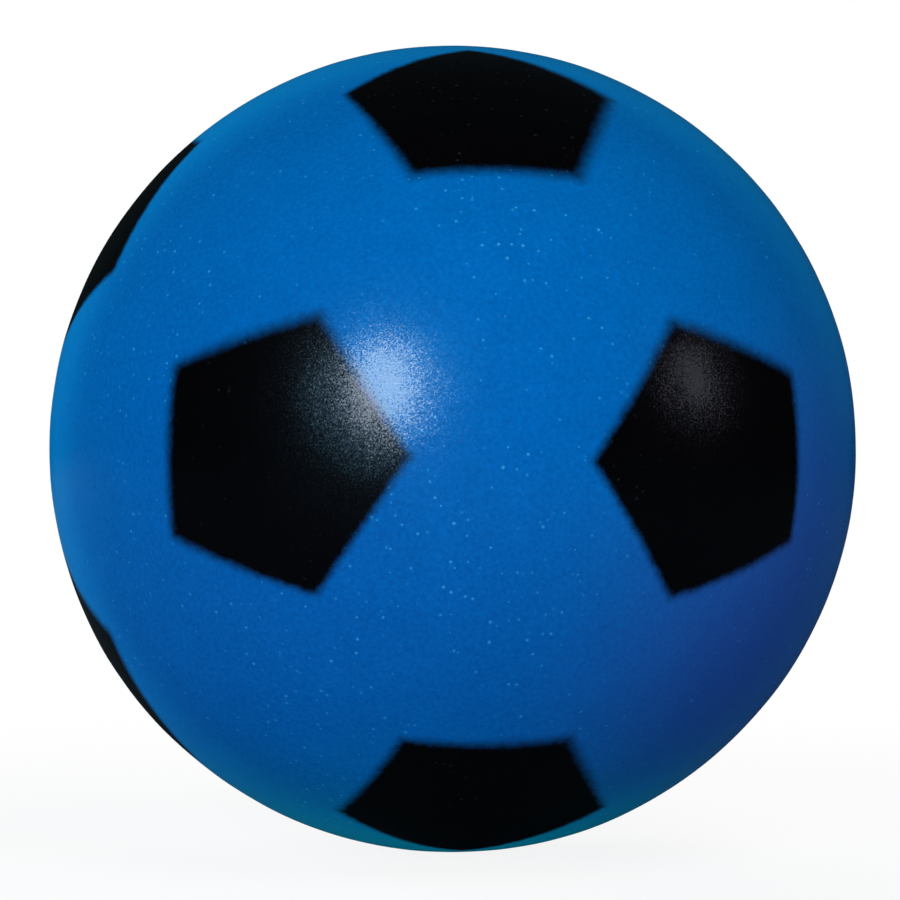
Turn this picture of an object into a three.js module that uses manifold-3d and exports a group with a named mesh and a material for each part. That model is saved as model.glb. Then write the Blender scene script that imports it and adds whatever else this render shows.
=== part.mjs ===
// A soft foam ball with the twelve black pentagons of a football.
// Millimetres, +Z up. The origin is the centre of the ball, and the front of the pattern faces -Y.
//
// The ball is moulded from soft foam: a light core under a denser blue skin. Black paint dyes the
// skin right through in twelve pentagons, so each pentagon is a plate seated in a window of the skin.

import * as THREE from "three";
import { mergeVertices } from "three/addons/utils/BufferGeometryUtils.js";
import Module from "manifold-3d";

const wasm = await Module();
wasm.setup();

// Driving dimensions
const BALL_DIAMETER = 200;
const SKIN_THICKNESS = 1.5;
const PENTAGON_SIDE = 40; // straight from corner to corner, on the outer surface
const CORE_CLEARANCE = 0.3; // between the core and the skin and pentagons over it
const PENTAGON_CLEARANCE = 0.3; // between a pentagon and each wall of its window

// The surfaces are icosahedra whose edges are cut into this many facets. An even count puts
// a corner on each axis, so that the ball measures its full diameter there.
const FACETS_PER_EDGE = 10;

// Finishes
const FOAM_FINISH = { color: "#e9e2c8", roughness: 0.95, metalness: 0 };
const SKIN_FINISH = { color: "#0a5fb4", roughness: 0.45, metalness: 0 };
const PAINT_FINISH = { color: "#0b0b0d", roughness: 0.5, metalness: 0 };

// The pentagons sit over the corners of an icosahedron. Each was sprayed through a mask that could
// slip: `right` and `up` are millimetres over the surface as seen from outside, and `turn` is degrees
// anticlockwise.
const PENTAGON_SIDES = 5;
const GOLDEN_RATIO = (1 + Math.sqrt(5)) / 2;
const PENTAGONS = [
  { name: "pentagon_front_left", corner: [-1, -GOLDEN_RATIO, 0], right: -0.5, up: 0.5 },
  { name: "pentagon_front_right", corner: [1, -GOLDEN_RATIO, 0], turn: 0.5 },
  { name: "pentagon_front_top", corner: [0, -1, GOLDEN_RATIO], right: 0.5, up: -1, turn: 0.5 },
  { name: "pentagon_front_bottom", corner: [0, -1, -GOLDEN_RATIO], right: 0.5, turn: 1 },
  { name: "pentagon_left_top", corner: [-GOLDEN_RATIO, 0, 1], right: -4, up: 2 },
  { name: "pentagon_left_bottom", corner: [-GOLDEN_RATIO, 0, -1], right: -6.5, up: -2.5, turn: -1.5 },
  { name: "pentagon_right_top", corner: [GOLDEN_RATIO, 0, 1], right: 8 },
  { name: "pentagon_right_bottom", corner: [GOLDEN_RATIO, 0, -1], right: 8 },
  { name: "pentagon_back_top", corner: [0, 1, GOLDEN_RATIO] },
  { name: "pentagon_back_bottom", corner: [0, 1, -GOLDEN_RATIO] },
  { name: "pentagon_back_left", corner: [-1, GOLDEN_RATIO, 0] },
  { name: "pentagon_back_right", corner: [1, GOLDEN_RATIO, 0] },
];

// Sizes that follow
const ballRadius = BALL_DIAMETER / 2;
const skinInnerRadius = ballRadius - SKIN_THICKNESS;
const coreRadius = skinInnerRadius - CORE_CLEARANCE;
const halfSideAngle = Math.PI / PENTAGON_SIDES;
const cornerAngle = Math.asin(PENTAGON_SIDE / (2 * ballRadius * Math.sin(halfSideAngle)));
const wallAngle = Math.atan(Math.tan(cornerAngle) * Math.cos(halfSideAngle));
const cutterHeight = BALL_DIAMETER; // well past the surface

// Turns a closed three.js geometry into a solid that can be cut.
function solidOf(geometry) {
  const bare = geometry.clone();
  bare.deleteAttribute("normal");
  bare.deleteAttribute("uv");
  const merged = mergeVertices(bare);
  return new wasm.Manifold(
    new wasm.Mesh({
      numProp: 3,
      vertProperties: merged.attributes.position.array,
      triVerts: new Uint32Array(merged.index.array),
    }),
  );
}

// Turns a solid back into a three.js geometry.
function geometryOf(solid) {
  const { vertProperties, triVerts } = solid.getMesh();
  const geometry = new THREE.BufferGeometry();
  geometry.setAttribute("position", new THREE.BufferAttribute(vertProperties, 3));
  geometry.setIndex(new THREE.BufferAttribute(triVerts, 1));
  geometry.computeVertexNormals();
  return geometry;
}

// A round ball of even facets.
function ballGeometry(radius) {
  return new THREE.IcosahedronGeometry(radius, FACETS_PER_EDGE - 1);
}

// A five-sided pyramid with its point at the ball's centre, opening along +Z with a corner towards +X.
// Its faces cut the ball along great circles. `inset` draws each face in by that distance.
function pentagonCutter(inset) {
  const baseRadius = cutterHeight * Math.tan(cornerAngle);
  const cutter = new THREE.ConeGeometry(baseRadius, cutterHeight, PENTAGON_SIDES);
  cutter.translate(0, -cutterHeight / 2, 0);
  cutter.rotateX(-Math.PI / 2);
  cutter.rotateZ(-Math.PI / 2);
  cutter.translate(0, 0, inset / Math.sin(wallAngle));
  return cutter;
}

// The turn that carries a pentagon from +Z to its place on the ball. One of its corners points at the
// neighbour that mirrors it across the nearest plane through the axes.
function pentagonTurn({ corner, right = 0, up = 0, turn = 0 }) {
  const outward = new THREE.Vector3(...corner).normalize();
  const neighbour = new THREE.Vector3(...corner.map((c) => (Math.abs(c) === 1 ? -c : c)));
  const toCorner = neighbour.projectOnPlane(outward).normalize();
  const across = new THREE.Vector3().crossVectors(outward, toCorner);
  const basis = new THREE.Matrix4().makeBasis(toCorner, across, outward);
  const seated = new THREE.Quaternion().setFromRotationMatrix(basis);

  const upward = new THREE.Vector3(0, 0, 1).projectOnPlane(outward).normalize();
  const rightward = new THREE.Vector3().crossVectors(upward, outward);
  const slipped = outward.clone().multiplyScalar(ballRadius);
  slipped.addScaledVector(rightward, right).addScaledVector(upward, up).normalize();
  const slide = new THREE.Quaternion().setFromUnitVectors(outward, slipped);
  const twist = new THREE.Quaternion().setFromAxisAngle(outward, THREE.MathUtils.degToRad(turn));
  return slide.multiply(twist).multiply(seated);
}

function namedMesh(name, geometry, finish) {
  const mesh = new THREE.Mesh(geometry, new THREE.MeshStandardMaterial(finish));
  mesh.name = name;
  return mesh;
}

// The skin as a whole hollow ball, before the pentagons are taken out of it
const wholeSkin = solidOf(ballGeometry(ballRadius)).subtract(solidOf(ballGeometry(skinInnerRadius)));

// The pentagons, and the skin with their windows
const pattern = new THREE.Group();
let windowedSkin = wholeSkin;
for (const pentagon of PENTAGONS) {
  const placed = pentagonTurn(pentagon);
  const windowCutter = solidOf(pentagonCutter(0).applyQuaternion(placed));
  const plateCutter = solidOf(pentagonCutter(PENTAGON_CLEARANCE).applyQuaternion(placed));
  windowedSkin = windowedSkin.subtract(windowCutter);
  const plate = geometryOf(wholeSkin.intersect(plateCutter));
  pattern.add(namedMesh(pentagon.name, plate, PAINT_FINISH));
}

const ball = new THREE.Group();
ball.add(namedMesh("foam_core", ballGeometry(coreRadius), FOAM_FINISH));
ball.add(namedMesh("skin", geometryOf(windowedSkin), SKIN_FINISH));
ball.add(pattern);

export default ball;
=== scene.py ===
"""Dresses the soft foam ball: a blue moulded skin with black sprayed pentagons over a foam core.

Metres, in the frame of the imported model: +Z is up, the ball's centre is the origin, and the front of
the pattern faces -Y. The pentagons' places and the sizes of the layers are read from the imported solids.
"""

import logging
import math
from dataclasses import dataclass
from enum import Enum
from typing import Any

import bpy
import numpy as np
from mathutils import Matrix, Vector


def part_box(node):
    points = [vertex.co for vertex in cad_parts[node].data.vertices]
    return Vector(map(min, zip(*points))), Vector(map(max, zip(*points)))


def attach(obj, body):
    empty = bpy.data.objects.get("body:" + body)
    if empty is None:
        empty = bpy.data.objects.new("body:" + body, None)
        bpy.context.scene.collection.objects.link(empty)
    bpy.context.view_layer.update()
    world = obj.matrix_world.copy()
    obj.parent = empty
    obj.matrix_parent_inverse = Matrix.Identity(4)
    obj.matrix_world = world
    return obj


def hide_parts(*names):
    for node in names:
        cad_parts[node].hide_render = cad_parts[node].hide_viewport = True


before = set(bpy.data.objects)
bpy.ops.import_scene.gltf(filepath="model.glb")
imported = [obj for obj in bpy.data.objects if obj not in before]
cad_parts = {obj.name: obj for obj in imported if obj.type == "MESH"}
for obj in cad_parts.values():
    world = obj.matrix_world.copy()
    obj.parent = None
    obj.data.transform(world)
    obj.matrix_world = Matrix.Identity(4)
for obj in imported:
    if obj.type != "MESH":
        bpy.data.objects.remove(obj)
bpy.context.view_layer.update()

BODY = "root"
MILLIMETRE = 0.001
PER_METRE = 1000.0  # millimetres in a metre, for the materials
GOLDEN_RATIO = (1 + math.sqrt(5)) / 2
PENTAGON_SIDES = 5
NOISE_MIDDLE = 0.5  # the value that a noise swings round

log = logging.getLogger("foam_ball")

Span = tuple[float, float]
Triple = tuple[float, float, float]
Colour = Triple
Socket = bpy.types.NodeSocket

WHITE: Colour = (1.0, 1.0, 1.0)
BALL_CENTRE: Triple = (0.0, 0.0, 0.0)


class Slot(Enum):
    """The record's material slots."""

    SKIN = "blue_skin"
    PAINT = "black_paint"
    CORE = "foam_core"


class Node(Enum):
    """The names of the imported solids, and how the twelve pentagons' names begin."""

    SKIN = "skin"
    CORE = "foam_core"
    PENTAGON_PREFIX = "pentagon_"


class Texture(Enum):
    """The textures that push a surface in and out."""

    CLOUDS = "CLOUDS"
    CELLS = "VORONOI"


class Relief(Enum):
    """How much of a relief lies inward of the surface."""

    EVEN = 0.5
    INWARD = 1.0


def only_select(piece: bpy.types.Object) -> None:
    """Leaves one object selected and active.

    Args:
        piece: the object to work on.
    """
    bpy.ops.object.select_all(action="DESELECT")
    piece.select_set(True)
    bpy.context.view_layer.objects.active = piece


def apply_modifier(piece: bpy.types.Object, kind: str, **settings: Any) -> None:
    """Adds a modifier to an object and applies it.

    Args:
        piece: the object to change.
        kind: the modifier's type.
        settings: the modifier's settings by name.
    """
    only_select(piece)
    modifier = piece.modifiers.new(kind.lower(), kind)
    for name, value in settings.items():
        setattr(modifier, name, value)
    bpy.ops.object.modifier_apply(modifier=modifier.name)


def push_surface(
    piece: bpy.types.Object, texture: Texture, grain: float, depth: float, relief: Relief
) -> None:
    """Moves a surface in and out along its normals, by a texture in the object's own space.

    Args:
        piece: the object to change.
        texture: the pattern of the relief.
        grain: the size of the pattern.
        depth: the relief from its lowest to its highest point.
        relief: how much of it lies inward of the surface.
    """
    pattern = bpy.data.textures.new(texture.name.lower(), texture.value)
    pattern.noise_scale = grain
    apply_modifier(
        piece,
        "DISPLACE",
        texture=pattern,
        texture_coords="LOCAL",
        strength=depth,
        mid_level=relief.value,
    )


def vertex_array(piece: bpy.types.Object) -> np.ndarray:
    """Reads the places of an object's vertices.

    Args:
        piece: the object to read.

    Returns:
        One row of x, y and z for each vertex.
    """
    places = np.empty(len(piece.data.vertices) * 3, np.float32)
    piece.data.vertices.foreach_get("co", places)
    return places.reshape(-1, 3).astype(float)


def unit_rows(rows: np.ndarray) -> np.ndarray:
    """Scales each row to a length of one."""
    return rows / np.linalg.norm(rows, axis=-1, keepdims=True)


@dataclass
class NodeBench:
    """Adds and links the nodes of one material or node group."""

    tree: bpy.types.NodeTree

    def add(
        self, kind: str, sockets: dict[str | int, Any] | None = None, **settings: Any
    ) -> bpy.types.Node:
        """Adds a node.

        Args:
            kind: the node's type.
            sockets: a value or a linked output for each input, by name or number.
            settings: the node's own settings by name.

        Returns:
            The new node.
        """
        node = self.tree.nodes.new(kind)
        for name, value in settings.items():
            setattr(node, name, value)
        for name, value in (sockets or {}).items():
            if isinstance(value, Socket):
                self.tree.links.new(value, node.inputs[name])
            else:
                node.inputs[name].default_value = value
        return node

    def maths(self, operation: str, *values: float | Socket, clamp: bool = False) -> Socket:
        """Adds a Math node.

        Args:
            operation: what it works out.
            values: its inputs in order.
            clamp: whether the result is kept from 0 to 1.

        Returns:
            The node's output.
        """
        node = self.add("ShaderNodeMath", dict(enumerate(values)), operation=operation, use_clamp=clamp)
        return node.outputs[0]

    def mapped(
        self,
        value: Socket,
        start: float | Socket,
        end: float | Socket,
        low: float = 0.0,
        high: float = 1.0,
    ) -> Socket:
        """Carries a value smoothly from one range to another.

        Args:
            value: the value to carry.
            start: where the range begins.
            end: where the range ends.
            low: the result at the start.
            high: the result at the end.

        Returns:
            The node's output.
        """
        sockets = {"Value": value, "From Min": start, "From Max": end, "To Min": low, "To Max": high}
        return self.add("ShaderNodeMapRange", sockets, interpolation_type="SMOOTHSTEP").outputs["Result"]

    def mixed(self, share: float | Socket, first: Colour | Socket, second: Colour | Socket) -> Socket:
        """Mixes two colours.

        Args:
            share: how much of the second colour is in the mix.
            first: the first colour.
            second: the second colour.

        Returns:
            The node's output.
        """
        node = self.add("ShaderNodeMix", data_type="RGBA")
        ends = {"Factor_Float": share, "A_Color": first, "B_Color": second}
        for socket in node.inputs:
            if socket.identifier not in ends:
                continue
            value = ends[socket.identifier]
            if isinstance(value, Socket):
                self.tree.links.new(value, socket)
            elif socket.type == "RGBA":
                socket.default_value = (*value, 1.0)
            else:
                socket.default_value = value
        return next(o for o in node.outputs if o.identifier == "Result_Color")

    def vector(self, operation: str, *values: Triple | Socket) -> Socket:
        """Adds a Vector Math node.

        Args:
            operation: what it works out.
            values: its inputs in order.

        Returns:
            The node's output.
        """
        node = self.add("ShaderNodeVectorMath", dict(enumerate(values)), operation=operation)
        return node.outputs["Vector"]

    def distance(self, place: Socket, middle: Triple) -> Socket:
        """Measures how far a place is from a fixed point.

        Args:
            place: the place.
            middle: the fixed point, in the same units.

        Returns:
            The node's output.
        """
        node = self.add("ShaderNodeVectorMath", {0: place, 1: middle}, operation="DISTANCE")
        return node.outputs["Value"]

    def millimetres(self) -> Socket:
        """Reads the place of a point in the object's own space, in millimetres."""
        place = self.add("ShaderNodeTexCoord").outputs["Object"]
        return self.vector("MULTIPLY", place, (PER_METRE,) * 3)

    def noise(self, place: Socket, grain: float, detail: float = 0.0) -> Socket:
        """Adds a soft noise.

        Args:
            place: where the noise is read, in millimetres.
            grain: the size of its blobs, in millimetres.
            detail: how many finer noises lie on it.

        Returns:
            A value around a half.
        """
        sockets = {"Vector": place, "Scale": 1 / grain, "Detail": detail}
        return self.add("ShaderNodeTexNoise", sockets).outputs["Fac"]


def blank_material(name: str) -> tuple[bpy.types.Material, NodeBench]:
    """Adds a material that has no nodes yet.

    Args:
        name: the material's name.

    Returns:
        The material, and the bench that its nodes are made on.
    """
    material = bpy.data.materials.new(name)
    material.use_nodes = True
    material.node_tree.nodes.clear()
    return material, NodeBench(material.node_tree)


@dataclass(frozen=True)
class FoamGrain:
    """The shared surface of moulded foam: fine specks, single raised beads and an uneven tone.

    Sizes are in millimetres, because a material's numbers are easier to read so.
    """

    speck_size: float = 0.42
    speck_lean: float = 0.28  # how far a speck tips over, where 1 is as far as it stands up
    bead_spacing: float = 1.85
    bead_radius: float = 0.6
    bead_height: float = 0.04
    bead_least: float = 0.5  # the smallest bead's radius, as a share of the largest's
    bead_flank: float = 0.8  # the share of its radius over which a bead rises
    patch_size: float = 60.0  # of the patches where beads gather
    patch_place: Triple = (865.0, 219.0, 2.0)  # where in the noise of patches the ball lies
    rarity_reach: Span = (0.35, 0.75)  # where in that noise beads begin to gather and are most
    rarity: Span = (0.86, 0.38)  # the share of cells without a bead at those two
    boldness_reach: Span = (0.45, 0.78)  # where in that noise beads begin to stand out and are boldest
    boldness: Span = (0.65, 1.0)  # how much of a bead shows at those two
    blotch_size: float = 11.0
    fleck_size: float = 1.0
    fleck_share: float = 0.75  # of the tone, against the blotches

    NAME = "foam_grain"

    def group(self) -> bpy.types.NodeTree:
        """Builds the node group once.

        Returns:
            The group, with the outputs Normal, Height in millimetres, Tone and Beads.
        """
        tree = bpy.data.node_groups.get(self.NAME)
        if tree:
            return tree
        tree = bpy.data.node_groups.new(self.NAME, "ShaderNodeTree")
        tree.interface.new_socket("Normal", in_out="OUTPUT", socket_type="NodeSocketVector")
        for name in ("Height", "Tone", "Beads"):
            tree.interface.new_socket(name, in_out="OUTPUT", socket_type="NodeSocketFloat")
        bench = NodeBench(tree)
        place = bench.millimetres()

        sockets = {"Vector": place, "Scale": 1 / self.speck_size, "Detail": 1.0}
        specks = bench.add("ShaderNodeTexNoise", sockets).outputs["Color"]
        centred = bench.vector("SUBTRACT", specks, (NOISE_MIDDLE,) * 3)
        lean = bench.vector("MULTIPLY", centred, (self.speck_lean,) * 3)
        upright = bench.add("ShaderNodeNewGeometry").outputs["Normal"]
        normal = bench.vector("NORMALIZE", bench.vector("ADD", upright, lean))

        cells = bench.add("ShaderNodeTexVoronoi", {"Vector": place, "Scale": 1 / self.bead_spacing})
        away = bench.maths("MULTIPLY", cells.outputs["Distance"], self.bead_spacing)
        chance = bench.add("ShaderNodeSeparateColor", {"Color": cells.outputs["Color"]}).outputs
        least = self.bead_least * self.bead_radius
        reach = bench.mapped(chance["Red"], 0.0, 1.0, least, self.bead_radius)
        nearness = bench.maths("SUBTRACT", 1.0, bench.maths("DIVIDE", away, reach), clamp=True)
        patches = bench.noise(bench.vector("ADD", place, self.patch_place), self.patch_size)
        rarity = bench.mapped(patches, *self.rarity_reach, *self.rarity)
        boldness = bench.mapped(patches, *self.boldness_reach, *self.boldness)
        strength = bench.maths("MULTIPLY", bench.mapped(chance["Green"], rarity, 1.0), boldness)
        beads = bench.maths("MULTIPLY", bench.mapped(nearness, 0.0, self.bead_flank), strength)
        height = bench.maths("MULTIPLY", beads, self.bead_height)

        blotches = bench.noise(place, self.blotch_size, detail=3.0)
        flecks = bench.noise(place, self.fleck_size, detail=1.0)
        sockets = {"Factor": self.fleck_share, "A": blotches, "B": flecks}
        tone = bench.add("ShaderNodeMix", sockets).outputs["Result"]
        bench.add("NodeGroupOutput", {"Normal": normal, "Height": height, "Tone": tone, "Beads": beads})
        return tree


@dataclass(frozen=True)
class Overspray:
    """The soft, slightly ragged border of paint that was sprayed through a mask.

    Sizes are in millimetres.
    """

    narrow: float = 3.0
    wide: float = 6.1
    change_size: float = 80.0  # of the stretches where the mask stood closer or further off
    change_place: Triple = (551.0, 1578.0, 858.0)  # where in the noise of these stretches the ball lies
    change_reach: Span = (0.31, 0.78)  # where in that noise the border is narrowest and widest
    ragged_size: float = 2.4
    ragged_reach: float = 1.0
    speck_size: float = 0.5
    speck_reach: float = 1.2

    NAME = "overspray"
    EDGE = "paint_edge"

    def group(self) -> bpy.types.NodeTree:
        """Builds the node group once.

        Returns:
            The group, with the input Edge, metres inside the paint's border, and the output Paint.
        """
        tree = bpy.data.node_groups.get(self.NAME)
        if tree:
            return tree
        tree = bpy.data.node_groups.new(self.NAME, "ShaderNodeTree")
        tree.interface.new_socket("Edge", in_out="INPUT", socket_type="NodeSocketFloat")
        tree.interface.new_socket("Paint", in_out="OUTPUT", socket_type="NodeSocketFloat")
        bench = NodeBench(tree)
        edge = bench.add("NodeGroupInput").outputs["Edge"]
        place = bench.millimetres()

        inside = bench.maths("MULTIPLY", edge, PER_METRE)
        for grain, reach in ((self.ragged_size, self.ragged_reach), (self.speck_size, self.speck_reach)):
            swing = bench.maths("SUBTRACT", bench.noise(place, grain, detail=1.0), NOISE_MIDDLE)
            inside = bench.maths("ADD", inside, bench.maths("MULTIPLY", swing, reach))
        change = bench.noise(bench.vector("ADD", place, self.change_place), self.change_size)
        half_width = bench.mapped(change, *self.change_reach, self.narrow / 2, self.wide / 2)
        outside = bench.maths("MULTIPLY", half_width, -1.0)
        bench.add("NodeGroupOutput", {"Paint": bench.mapped(inside, outside, half_width)})
        return tree


@dataclass(frozen=True)
class SkinFinish:
    """The blue foam skin and the black paint on it, which share one border."""

    name: str
    grain: FoamGrain
    overspray: Overspray
    blue: Colour = (0.0, 0.0925, 0.302)
    blue_worn: Colour = (0.0, 0.184, 0.536)
    blue_painted_shade: Colour = (0.04, 0.075, 0.35)  # painted shade: a redder, violet tint where the light falls off, low on the right
    blue_painted_sheen: Colour = (0.0, 0.3, 0.74)  # painted sheen: a lighter teal towards the limb, seen edge on
    # the beads' pale colour, partly a painted glint
    blue_bead_and_glint: Colour = (0.04, 0.39, 0.73)
    black: Colour = (0.001, 0.001, 0.0012)
    black_bead: Colour = (0.015, 0.016, 0.018)
    blue_roughness: float = 0.2
    black_roughness: float = 0.23
    roughness_swing: float = 0.06
    painted_shade_middle: Triple = (78.0, -45.0, -42.0)  # of the stretch of painted violet shade, in millimetres
    painted_shade_reach: Span = (20.0, 90.0)  # where it begins to fade and ends, from its middle
    painted_shade_share: float = 0.5  # of the painted shade tint in its middle
    painted_sheen_reach: Span = (0.55, 0.95)  # where the painted sheen begins and is full, by Layer Weight
    gloss: float = 0.46
    gloss_tint: Colour = WHITE

    FACING_BLEND = 0.5  # at which Layer Weight gives plainly how far a surface turns away

    def material(self) -> bpy.types.Material:
        """Builds the material.

        Returns:
            The material, which reads how far inside the paint a point lies from the mesh.
        """
        material, bench = blank_material(self.name)
        surface = bench.add("ShaderNodeGroup", node_tree=self.grain.group()).outputs
        edge = bench.add("ShaderNodeAttribute", attribute_name=self.overspray.EDGE).outputs["Fac"]
        paint = bench.add("ShaderNodeGroup", node_tree=self.overspray.group())
        material.node_tree.links.new(edge, paint.inputs["Edge"])
        painted = paint.outputs["Paint"]

        skin = bench.mixed(surface["Tone"], self.blue, self.blue_worn)
        # painted shade: a violet tint mixed in round a point low on the right
        away = bench.distance(bench.millimetres(), self.painted_shade_middle)
        painted_shade = bench.mapped(away, *self.painted_shade_reach, self.painted_shade_share, 0.0)
        # painted sheen: the blue turns lighter teal where the surface turns away, towards the limb
        facing = bench.add("ShaderNodeLayerWeight", {"Blend": self.FACING_BLEND}).outputs["Facing"]
        skin = bench.mixed(bench.mapped(facing, *self.painted_sheen_reach), skin, self.blue_painted_sheen)
        skin = bench.mixed(painted_shade, skin, self.blue_painted_shade)
        # pale beads on the blue, partly painted glints
        skin = bench.mixed(surface["Beads"], skin, self.blue_bead_and_glint)
        cover = bench.mixed(surface["Beads"], self.black, self.black_bead)
        colour = bench.mixed(painted, skin, cover)
        dullness = bench.mapped(painted, 0.0, 1.0, self.blue_roughness, self.black_roughness)
        swing = bench.maths("SUBTRACT", surface["Tone"], NOISE_MIDDLE)
        swing = bench.maths("MULTIPLY", swing, self.roughness_swing)
        relief = {"Height": surface["Height"], "Distance": MILLIMETRE, "Normal": surface["Normal"]}
        bump = bench.add("ShaderNodeBump", relief)
        shader = bench.add(
            "ShaderNodeBsdfPrincipled",
            {
                "Base Color": colour,
                "Roughness": bench.maths("ADD", dullness, swing),
                "Specular IOR Level": self.gloss,
                "Specular Tint": (*self.gloss_tint, 1.0),
                "Normal": bump.outputs["Normal"],
            },
        )
        bench.add("ShaderNodeOutputMaterial", {"Surface": shader.outputs["BSDF"]})
        return material


@dataclass(frozen=True)
class CoreFinish:
    """The open cells of the soft foam inside. Sizes are in millimetres."""

    name: str
    cell_size: float = 1.6
    cell_depth: float = 0.5
    wall_reach: Span = (0.15, 0.6)  # where a cell's wall begins and is full, in cells from its middle
    stain_size: float = 25.0
    cream: Colour = (0.81, 0.75, 0.58)
    straw: Colour = (0.74, 0.64, 0.42)
    # painted shade: the colour of each cell's sunk middle
    cell_painted_shade: Colour = (0.46, 0.38, 0.24)
    roughness: float = 0.95

    def material(self) -> bpy.types.Material:
        """Builds the material.

        Returns:
            The material, on the object's own coordinates.
        """
        material, bench = blank_material(self.name)
        place = bench.millimetres()
        cells = bench.add("ShaderNodeTexVoronoi", {"Vector": place, "Scale": 1 / self.cell_size})
        wall = bench.mapped(cells.outputs["Distance"], *self.wall_reach)
        body = bench.mixed(bench.noise(place, self.stain_size, detail=3.0), self.cream, self.straw)
        # painted shade: the sunk middle of each cell is darker
        colour = bench.mixed(wall, self.cell_painted_shade, body)
        height = bench.maths("MULTIPLY", wall, self.cell_depth)
        bump = bench.add("ShaderNodeBump", {"Height": height, "Distance": MILLIMETRE})
        shader = bench.add(
            "ShaderNodeBsdfPrincipled",
            {"Base Color": colour, "Roughness": self.roughness, "Normal": bump.outputs["Normal"]},
        )
        bench.add("ShaderNodeOutputMaterial", {"Surface": shader.outputs["BSDF"]})
        return material


@dataclass
class FoamPiece:
    """One finished piece of the ball, with what it stands for."""

    piece: bpy.types.Object
    node: str
    slot: Slot

    FULL = 1.0  # foam that fills its shape

    def hand_over(self, material: bpy.types.Material) -> None:
        """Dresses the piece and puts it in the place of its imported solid.

        Args:
            material: the piece's finish.
        """
        self.piece.data.materials.clear()
        self.piece.data.materials.append(material)
        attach(self.piece, BODY)
        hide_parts(self.node)
        faces = len(self.piece.data.polygons)
        log.info("%s: %d faces, for %s", self.piece.name, faces, self.node)


@dataclass
class Pentagon:
    """Where one sprayed pentagon lies on the ball."""

    node: str
    corners: np.ndarray  # directions from the ball's centre to the solid's corners

    @property
    def axis(self) -> np.ndarray:
        """The direction of the pentagon's middle."""
        return unit_rows(self.corners.sum(axis=0))

    @property
    def corner_angle(self) -> float:
        """The angle at the ball's centre from the middle to a corner."""
        return float(np.mean(np.arccos(self.corners @ self.axis)))


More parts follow.
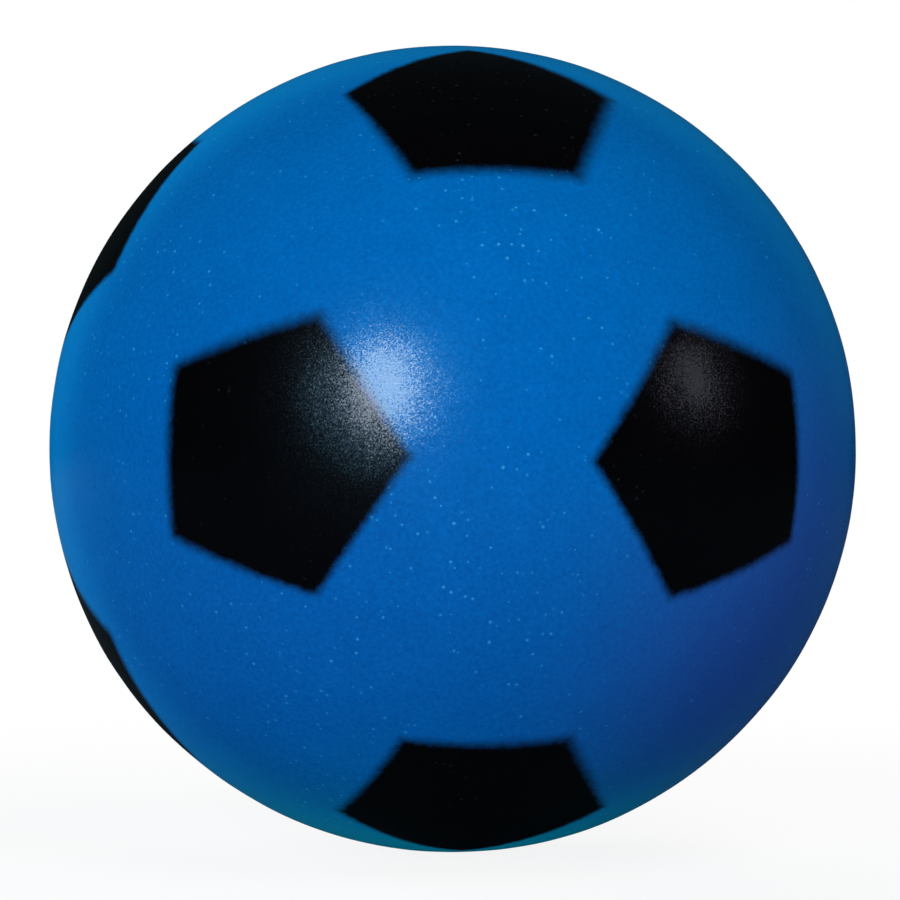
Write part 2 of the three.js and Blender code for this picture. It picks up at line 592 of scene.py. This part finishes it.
@dataclass
class PatternedSkin:
    """The skin and the twelve pentagons, modelled as one patterned ball and then taken apart."""

    radius: float
    core_radius: float
    plate_gap: float = 0.3 * MILLIMETRE  # between a pentagon's solid and its window
    core_gap: float = 0.3 * MILLIMETRE  # between the core's solid and the skin
    cuts: int = 27  # across each edge of the pattern
    wave_size: float = 38 * MILLIMETRE
    wave_height: float = 0.45 * MILLIMETRE
    ripple_size: float = 9 * MILLIMETRE
    ripple_height: float = 0.09 * MILLIMETRE
    smooth_angle: float = math.radians(40)

    @property
    def thickness(self) -> float:
        """The wall of the skin."""
        return self.radius - self.core_radius - self.core_gap

    def build(self) -> list[FoamPiece]:
        """Models the skin and its pentagons.

        Returns:
            The skin, and then the pentagons in the order of their nodes.
        """
        ball = self.add_icosahedron()
        names = sorted(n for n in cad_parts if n.startswith(Node.PENTAGON_PREFIX.value))
        middles = unit_rows(vertex_array(ball))
        pentagons = [self.read_pentagon(name, middles) for name in names]
        self.cut_corners(ball, pentagons)
        self.slip_pentagons(ball, pentagons)
        self.round_off(ball)
        borders = self.measure_borders(ball, pentagons)
        pieces = self.take_apart(ball, pentagons, borders)
        for foam in pieces:
            apply_modifier(foam.piece, "SOLIDIFY", thickness=self.thickness, offset=-1.0)
            only_select(foam.piece)
            bpy.ops.object.shade_smooth_by_angle(angle=self.smooth_angle)
        return pieces

    def add_icosahedron(self) -> bpy.types.Object:
        """Adds an icosahedron whose corners are the middles of the pattern's pentagons.

        Returns:
            The new object, turned so that two of its edges cross the front and the back level.
        """
        bpy.ops.object.select_all(action="DESELECT")
        tip = Matrix.Rotation(math.atan(1 / GOLDEN_RATIO), 3, "X")
        turn = tip @ Matrix.Rotation(math.pi / 2, 3, "Z")
        bpy.ops.mesh.primitive_ico_sphere_add(subdivisions=1, radius=self.radius, rotation=turn.to_euler())
        bpy.ops.object.transform_apply(location=False, rotation=True, scale=False)
        ball = bpy.context.object
        ball.name = "foam_ball_skin"
        return ball

    def read_pentagon(self, node: str, middles: np.ndarray) -> Pentagon:
        """Finds the corners of a packed pentagon.

        Args:
            node: the solid's name.
            middles: the directions of the even pattern's pentagons.

        Returns:
            The pentagon, its corners in the order of the neighbours that they point at.
        """
        rays = unit_rows(vertex_array(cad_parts[node]))
        near = middles @ unit_rows(rays.mean(axis=0))
        middle = middles[near.argmax()]
        neighbours = middles[np.argsort(near)[-1 - PENTAGON_SIDES : -1]]
        neighbours = neighbours - np.outer(neighbours @ middle, middle)
        return Pentagon(node, rays[(neighbours @ rays.T).argmax(axis=1)])

    def cut_corners(self, ball: bpy.types.Object, pentagons: list[Pentagon]) -> None:
        """Cuts the icosahedron's corners off, which leaves pentagons and hexagons.

        Args:
            ball: the icosahedron.
            pentagons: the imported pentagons, which give the size of the cut.
        """
        corner_angle = np.mean([p.corner_angle for p in pentagons])
        half_corner = math.pi / 2 - math.pi / PENTAGON_SIDES
        corner_angle += self.plate_gap / (math.sin(half_corner) * self.radius)
        spread = math.atan(2)  # between the middles of two neighbours
        slope = math.tan(corner_angle)
        share = slope / (math.sin(spread) + slope * (1 - math.cos(spread)))
        only_select(ball)
        bpy.ops.object.mode_set(mode="EDIT")
        bpy.ops.mesh.select_all(action="SELECT")
        bpy.ops.mesh.bevel(offset_type="PERCENT", offset_pct=100 * share, affect="VERTICES")
        bpy.ops.object.mode_set(mode="OBJECT")

    def slip_pentagons(self, ball: bpy.types.Object, pentagons: list[Pentagon]) -> None:
        """Turns each pentagon about the ball's centre to where its solid is.

        Args:
            ball: the ball of flat pentagons and hexagons.
            pentagons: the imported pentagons.
        """
        only_select(ball)
        places = vertex_array(ball)
        faces = [f for f in ball.data.polygons if len(f.vertices) == PENTAGON_SIDES]
        rings = [list(f.vertices) for f in faces]
        centres = unit_rows(np.array([places[ring].mean(axis=0) for ring in rings]))
        for pentagon in pentagons:
            ring = rings[(centres @ pentagon.axis).argmax()]
            even = unit_rows(places[ring])
            slipped = pentagon.corners[(even @ pentagon.corners.T).argmax(axis=1)]
            left, _, right = np.linalg.svd(slipped.T @ even)
            turn = Matrix((left @ right).tolist()).to_euler("XYZ")
            for vertex in ball.data.vertices:
                vertex.select = vertex.index in ring
            bpy.ops.object.mode_set(mode="EDIT")
            for axis, angle in zip("XYZ", turn):
                bpy.ops.transform.rotate(value=-angle, orient_axis=axis, center_override=BALL_CENTRE)
            bpy.ops.object.mode_set(mode="OBJECT")

    def round_off(self, ball: bpy.types.Object) -> None:
        """Divides the pattern finely and rounds it to a ball with the slight waves of moulded foam.

        Args:
            ball: the ball of flat pentagons and hexagons.
        """
        only_select(ball)
        bpy.ops.object.mode_set(mode="EDIT")
        bpy.ops.mesh.select_all(action="SELECT")
        bpy.ops.mesh.poke()
        bpy.ops.mesh.subdivide(number_cuts=self.cuts)
        bpy.ops.object.mode_set(mode="OBJECT")
        apply_modifier(ball, "CAST", factor=1.0, size=self.radius, use_radius_as_size=False)
        push_surface(ball, Texture.CLOUDS, self.wave_size, self.wave_height, Relief.EVEN)
        push_surface(ball, Texture.CLOUDS, self.ripple_size, self.ripple_height, Relief.EVEN)

    def measure_borders(self, ball: bpy.types.Object, pentagons: list[Pentagon]) -> np.ndarray:
        """Works out the planes through the ball's centre that bound the pentagons.

        Args:
            ball: the rounded ball, which gets how far inside the paint each vertex lies.
            pentagons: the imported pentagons.

        Returns:
            The planes' inward normals, by pentagon and side.
        """
        borders = []
        for pentagon in pentagons:
            axis = pentagon.axis
            east = unit_rows(pentagon.corners[0] - axis * (pentagon.corners[0] @ axis))
            north = np.cross(axis, east)
            round_axis = np.arctan2(pentagon.corners @ north, pentagon.corners @ east)
            ring = pentagon.corners[np.argsort(round_axis)]
            borders.append(unit_rows(np.cross(ring, np.roll(ring, -1, axis=0))))
        borders = np.array(borders)
        edge = ball.data.attributes.new(Overspray.EDGE, "FLOAT", "POINT")
        inside = self.inside_paint(vertex_array(ball), borders).max(axis=0)
        edge.data.foreach_set("value", inside.astype(np.float32))
        return borders

    def inside_paint(self, places: np.ndarray, borders: np.ndarray) -> np.ndarray:
        """Measures along the surface how far inside each pentagon some points lie.

        Args:
            places: the points.
            borders: the planes' inward normals, by pentagon and side.

        Returns:
            The distance from the nearest side, by pentagon and point, negative outside.
        """
        sines = np.einsum("psk,vk->psv", borders, unit_rows(places)).min(axis=1)
        return np.arcsin(sines) * self.radius + self.plate_gap

    def take_apart(
        self, ball: bpy.types.Object, pentagons: list[Pentagon], borders: np.ndarray
    ) -> list[FoamPiece]:
        """Separates the pentagons from the skin.

        Args:
            ball: the rounded ball.
            pentagons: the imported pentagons.
            borders: the planes that bound them.

        Returns:
            The skin and the pentagons.
        """
        pieces = [FoamPiece(ball, Node.SKIN.value, Slot.SKIN)]
        only_select(ball)
        bpy.ops.object.mode_set(mode="EDIT")
        bpy.ops.mesh.select_mode(type="FACE")
        bpy.ops.mesh.select_all(action="DESELECT")
        bpy.ops.object.mode_set(mode="OBJECT")
        for pentagon, sides in zip(pentagons, borders):
            only_select(ball)
            centres = np.array([f.center for f in ball.data.polygons], float)
            inside = self.inside_paint(centres, sides[np.newaxis])[0] > 0
            ball.data.polygons.foreach_set("select", inside)
            bpy.ops.object.mode_set(mode="EDIT")
            bpy.ops.mesh.separate(type="SELECTED")
            bpy.ops.object.mode_set(mode="OBJECT")
            patch = next(o for o in bpy.context.selected_objects if o != ball)
            patch.name = "black_" + pentagon.node
            pieces.append(FoamPiece(patch, pentagon.node, Slot.PAINT))
        return pieces


@dataclass
class FoamCore:
    """The soft foam inside the skin."""

    radius: float
    subdivisions: int = 7
    hollow_size: float = 12 * MILLIMETRE
    hollow_depth: float = 0.5 * MILLIMETRE
    pore_size: float = 3.5 * MILLIMETRE
    pore_depth: float = 0.9 * MILLIMETRE

    def build(self) -> list[FoamPiece]:
        """Models the core: a ball whose surface is sunk in by hollows and pores.

        Returns:
            The core alone.
        """
        bpy.ops.object.select_all(action="DESELECT")
        bpy.ops.mesh.primitive_ico_sphere_add(subdivisions=self.subdivisions, radius=self.radius)
        core = bpy.context.object
        core.name = "foam_ball_core"
        push_surface(core, Texture.CLOUDS, self.hollow_size, self.hollow_depth, Relief.INWARD)
        push_surface(core, Texture.CELLS, self.pore_size, self.pore_depth, Relief.INWARD)
        only_select(core)
        bpy.ops.object.shade_smooth()
        return [FoamPiece(core, Node.CORE.value, Slot.CORE)]


@dataclass(frozen=True)
class Lamp:
    """A soft lamp that faces the ball. Angles are in degrees; azimuth 0 is the front, 90 is +X."""

    name: str
    azimuth: float
    elevation: float
    distance: float
    width: float
    level: float  # how bright a matt white surface that faces the lamp looks at the ball's centre
    stretch: float = 1.0  # height against width
    roll: float = 0.0  # how far the lamp's top leans left, as seen from outside
    mirrored: bool = True  # whether gloss shows the lamp
    colour: Colour = WHITE

    def hang(self) -> None:
        """Adds the lamp."""
        place = orbit(self.azimuth, self.elevation) @ Vector((0, -self.distance, 0))
        facing = place.to_track_quat("Z", "Y").to_matrix()
        turn = facing @ Matrix.Rotation(math.radians(self.roll), 3, "Z")
        bpy.ops.object.light_add(type="AREA", location=place, rotation=turn.to_euler())
        lamp = bpy.context.object
        lamp.name = self.name
        lamp.data.shape = "ELLIPSE"
        lamp.data.size = self.width
        lamp.data.size_y = self.width * self.stretch
        lamp.data.energy = self.level * (math.pi * self.distance) ** 2
        lamp.data.color = self.colour
        lamp.visible_camera = False
        lamp.visible_glossy = self.mirrored
        lamp.data.cycles.use_multiple_importance_sampling = self.mirrored


def orbit(azimuth: float, elevation: float, roll: float = 0.0) -> Matrix:
    """The turn that carries the front of the ball to a place round it.

    Args:
        azimuth: degrees from the front towards +X.
        elevation: degrees above the horizon.
        roll: degrees clockwise, as seen from outside.

    Returns:
        The turn.
    """
    around = Matrix.Rotation(math.radians(azimuth), 3, "Z")
    above = Matrix.Rotation(math.radians(-elevation), 3, "X")
    return around @ above @ Matrix.Rotation(math.radians(-roll), 3, "Y")


@dataclass
class Studio:
    """The floor, the light and the camera."""

    floor_height: float
    floor_size: float = 40.0
    floor_white: float = 0.88  # share of plain white that the camera sees under the ball's shadow
    shadow_reach: Span = (0.15, 0.5)  # where the floor turns plain white, from the centre
    floor_colour: Colour = (0.9, 0.9, 0.9)
    floor_bounce: Colour = (0.2, 0.34, 0.56)
    floor_gloss: Colour = (0.02, 0.03, 0.035)
    floor_glow: Colour = (0.0, 0.62, 0.42)  # of the light that gathers under the ball
    glow_reach: Span = (0.102, 0.15)  # where the glow begins to fade and ends, from the centre
    ambient: Colour = (0.02, 0.02, 0.02)
    backdrop: Colour = (0.008, 0.013, 0.015)
    backdrop_reach: Span = (-0.1, 0.8)  # where the backdrop begins and is full; 1 is straight behind
    gloom: Colour = (0.005, 0.005, 0.005)
    lamps: tuple[Lamp, ...] = (
        Lamp(
            "key_lamp",
            azimuth=-25.0,
            elevation=17.4,
            distance=1.1,
            width=0.3,
            level=0.345,
            stretch=1.5,
            roll=22.0,
            colour=(0.76, 0.96, 0.95),
        ),
        Lamp("glow_lamp", -25.0, 17.4, 1.15, 0.75, 0.14, stretch=1.1, colour=(0.05, 0.72, 1.0)),
        Lamp("front_lamp", -15.0, 3.0, 1.6, 1.2, 0.37, mirrored=False, colour=(1.0, 0.6, 1.0)),
        Lamp("sky_lamp", 38.0, 53.0, 1.6, 1.2, 0.45, mirrored=False),
        Lamp("rim_lamp", -135.0, 3.0, 1.6, 1.2, 1.35, mirrored=False),
        Lamp("back_lamp", 180.0, 30.0, 1.6, 1.2, 0.45, mirrored=False),
        Lamp("side_lamp", 64.5, 16.0, 1.3, 0.2, 0.018, stretch=1.4, colour=(0.8, 0.93, 1.0)),
    )
    camera_azimuth: float = -6.743
    camera_elevation: float = 1.301
    camera_roll: float = 0.616
    camera_distance: float = 1.1126
    camera_lens: float = 178.8
    camera_shift: Span = (-0.0031, -0.0012)

    def build(self) -> None:
        """Sets up the whole studio."""
        self.lay_floor()
        self.light_world()
        for lamp in self.lamps:
            lamp.hang()
        self.place_camera()
        bpy.context.scene.view_settings.view_transform = "Standard"

    def lay_floor(self) -> None:
        """Lays a plain floor that the camera sees as white, with the ball's shadow."""
        bpy.ops.mesh.primitive_plane_add(size=self.floor_size, location=(0, 0, self.floor_height))
        floor = bpy.context.object
        floor.name = "studio_floor"
        bpy.ops.object.transform_apply()
        material, bench = blank_material("studio_floor")
        ray = bench.add("ShaderNodeLightPath").outputs
        seen = ray["Is Camera Ray"]
        colour = bench.mixed(seen, self.floor_bounce, self.floor_colour)
        colour = bench.mixed(ray["Is Glossy Ray"], colour, self.floor_gloss)
        matt = bench.add("ShaderNodeBsdfDiffuse", {"Color": colour}).outputs["BSDF"]
        shine = bench.mixed(seen, self.floor_glow, WHITE)
        glow = bench.add("ShaderNodeEmission", {"Color": shine}).outputs["Emission"]
        place = bench.add("ShaderNodeTexCoord").outputs["Object"]
        away = bench.distance(place, BALL_CENTRE)
        plain = bench.mapped(away, *self.shadow_reach, self.floor_white, 1.0)
        gathered = bench.mapped(away, *self.glow_reach, 1.0, 0.0)
        share = bench.maths("MULTIPLY", seen, plain)
        share = bench.maths("ADD", share, bench.maths("MULTIPLY", ray["Is Diffuse Ray"], gathered))
        mix = bench.add("ShaderNodeMixShader", {"Fac": share, 1: matt, 2: glow})
        bench.add("ShaderNodeOutputMaterial", {"Surface": mix.outputs["Shader"]})
        material.cycles.emission_sampling = "NONE"  # so that each ray is told apart by what it left
        floor.data.materials.append(material)

    def light_world(self) -> None:
        """Lights the surroundings: white to the camera, dim to the ball, paler behind it."""
        world = bpy.data.worlds.new("studio")
        world.use_nodes = True
        world.node_tree.nodes.clear()
        bench = NodeBench(world.node_tree)
        ray = bench.add("ShaderNodeLightPath").outputs
        direction = bench.add("ShaderNodeTexCoord").outputs["Generated"]
        depth = bench.add("ShaderNodeSeparateXYZ", {"Vector": direction}).outputs["Y"]
        behind = bench.mapped(depth, *self.backdrop_reach)
        mirrored = bench.mixed(behind, self.gloom, self.backdrop)
        light = bench.mixed(ray["Is Glossy Ray"], self.ambient, mirrored)
        seen = bench.maths("MAXIMUM", ray["Is Camera Ray"], ray["Is Transmission Ray"])
        colour = bench.mixed(seen, light, WHITE)
        background = bench.add("ShaderNodeBackground", {"Color": colour})
        bench.add("ShaderNodeOutputWorld", {"Surface": background.outputs["Background"]})
        world.cycles.sampling_method = "NONE"  # so that each ray is told apart by what it left
        bpy.context.scene.world = world

    def place_camera(self) -> None:
        """Puts the camera where the photograph was taken from."""
        turn = orbit(self.camera_azimuth, self.camera_elevation, self.camera_roll)
        place = turn @ Vector((0, -self.camera_distance, 0))
        facing = turn @ Matrix.Rotation(math.pi / 2, 3, "X")
        bpy.ops.object.camera_add(location=place, rotation=facing.to_euler())
        camera = bpy.context.object
        camera.name = "studio_camera"
        camera.data.lens = self.camera_lens
        camera.data.shift_x, camera.data.shift_y = self.camera_shift
        bpy.context.scene.camera = camera


def main() -> None:
    """Builds the studio, the skin with its pentagons, and the core."""
    logging.basicConfig(level=logging.INFO, format="%(name)s: %(message)s")
    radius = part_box(Node.SKIN.value)[1].z
    core_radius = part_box(Node.CORE.value)[1].z
    Studio(floor_height=-radius).build()

    grain = FoamGrain()
    overspray = Overspray()
    finishes = {
        Slot.SKIN: SkinFinish("blue_foam_skin", grain, overspray),
        Slot.PAINT: SkinFinish(
            "black_sprayed_paint",
            grain,
            overspray,
            gloss=0.5,
            gloss_tint=(0.95, 0.82, 1.0),
        ),
        Slot.CORE: CoreFinish("open_cell_foam"),
    }
    materials = {slot: finish.material() for slot, finish in finishes.items()}
    for part in (PatternedSkin(radius, core_radius), FoamCore(core_radius)):
        for foam in part.build():
            foam.hand_over(materials[foam.slot])


if __name__ == "__main__":
    main()
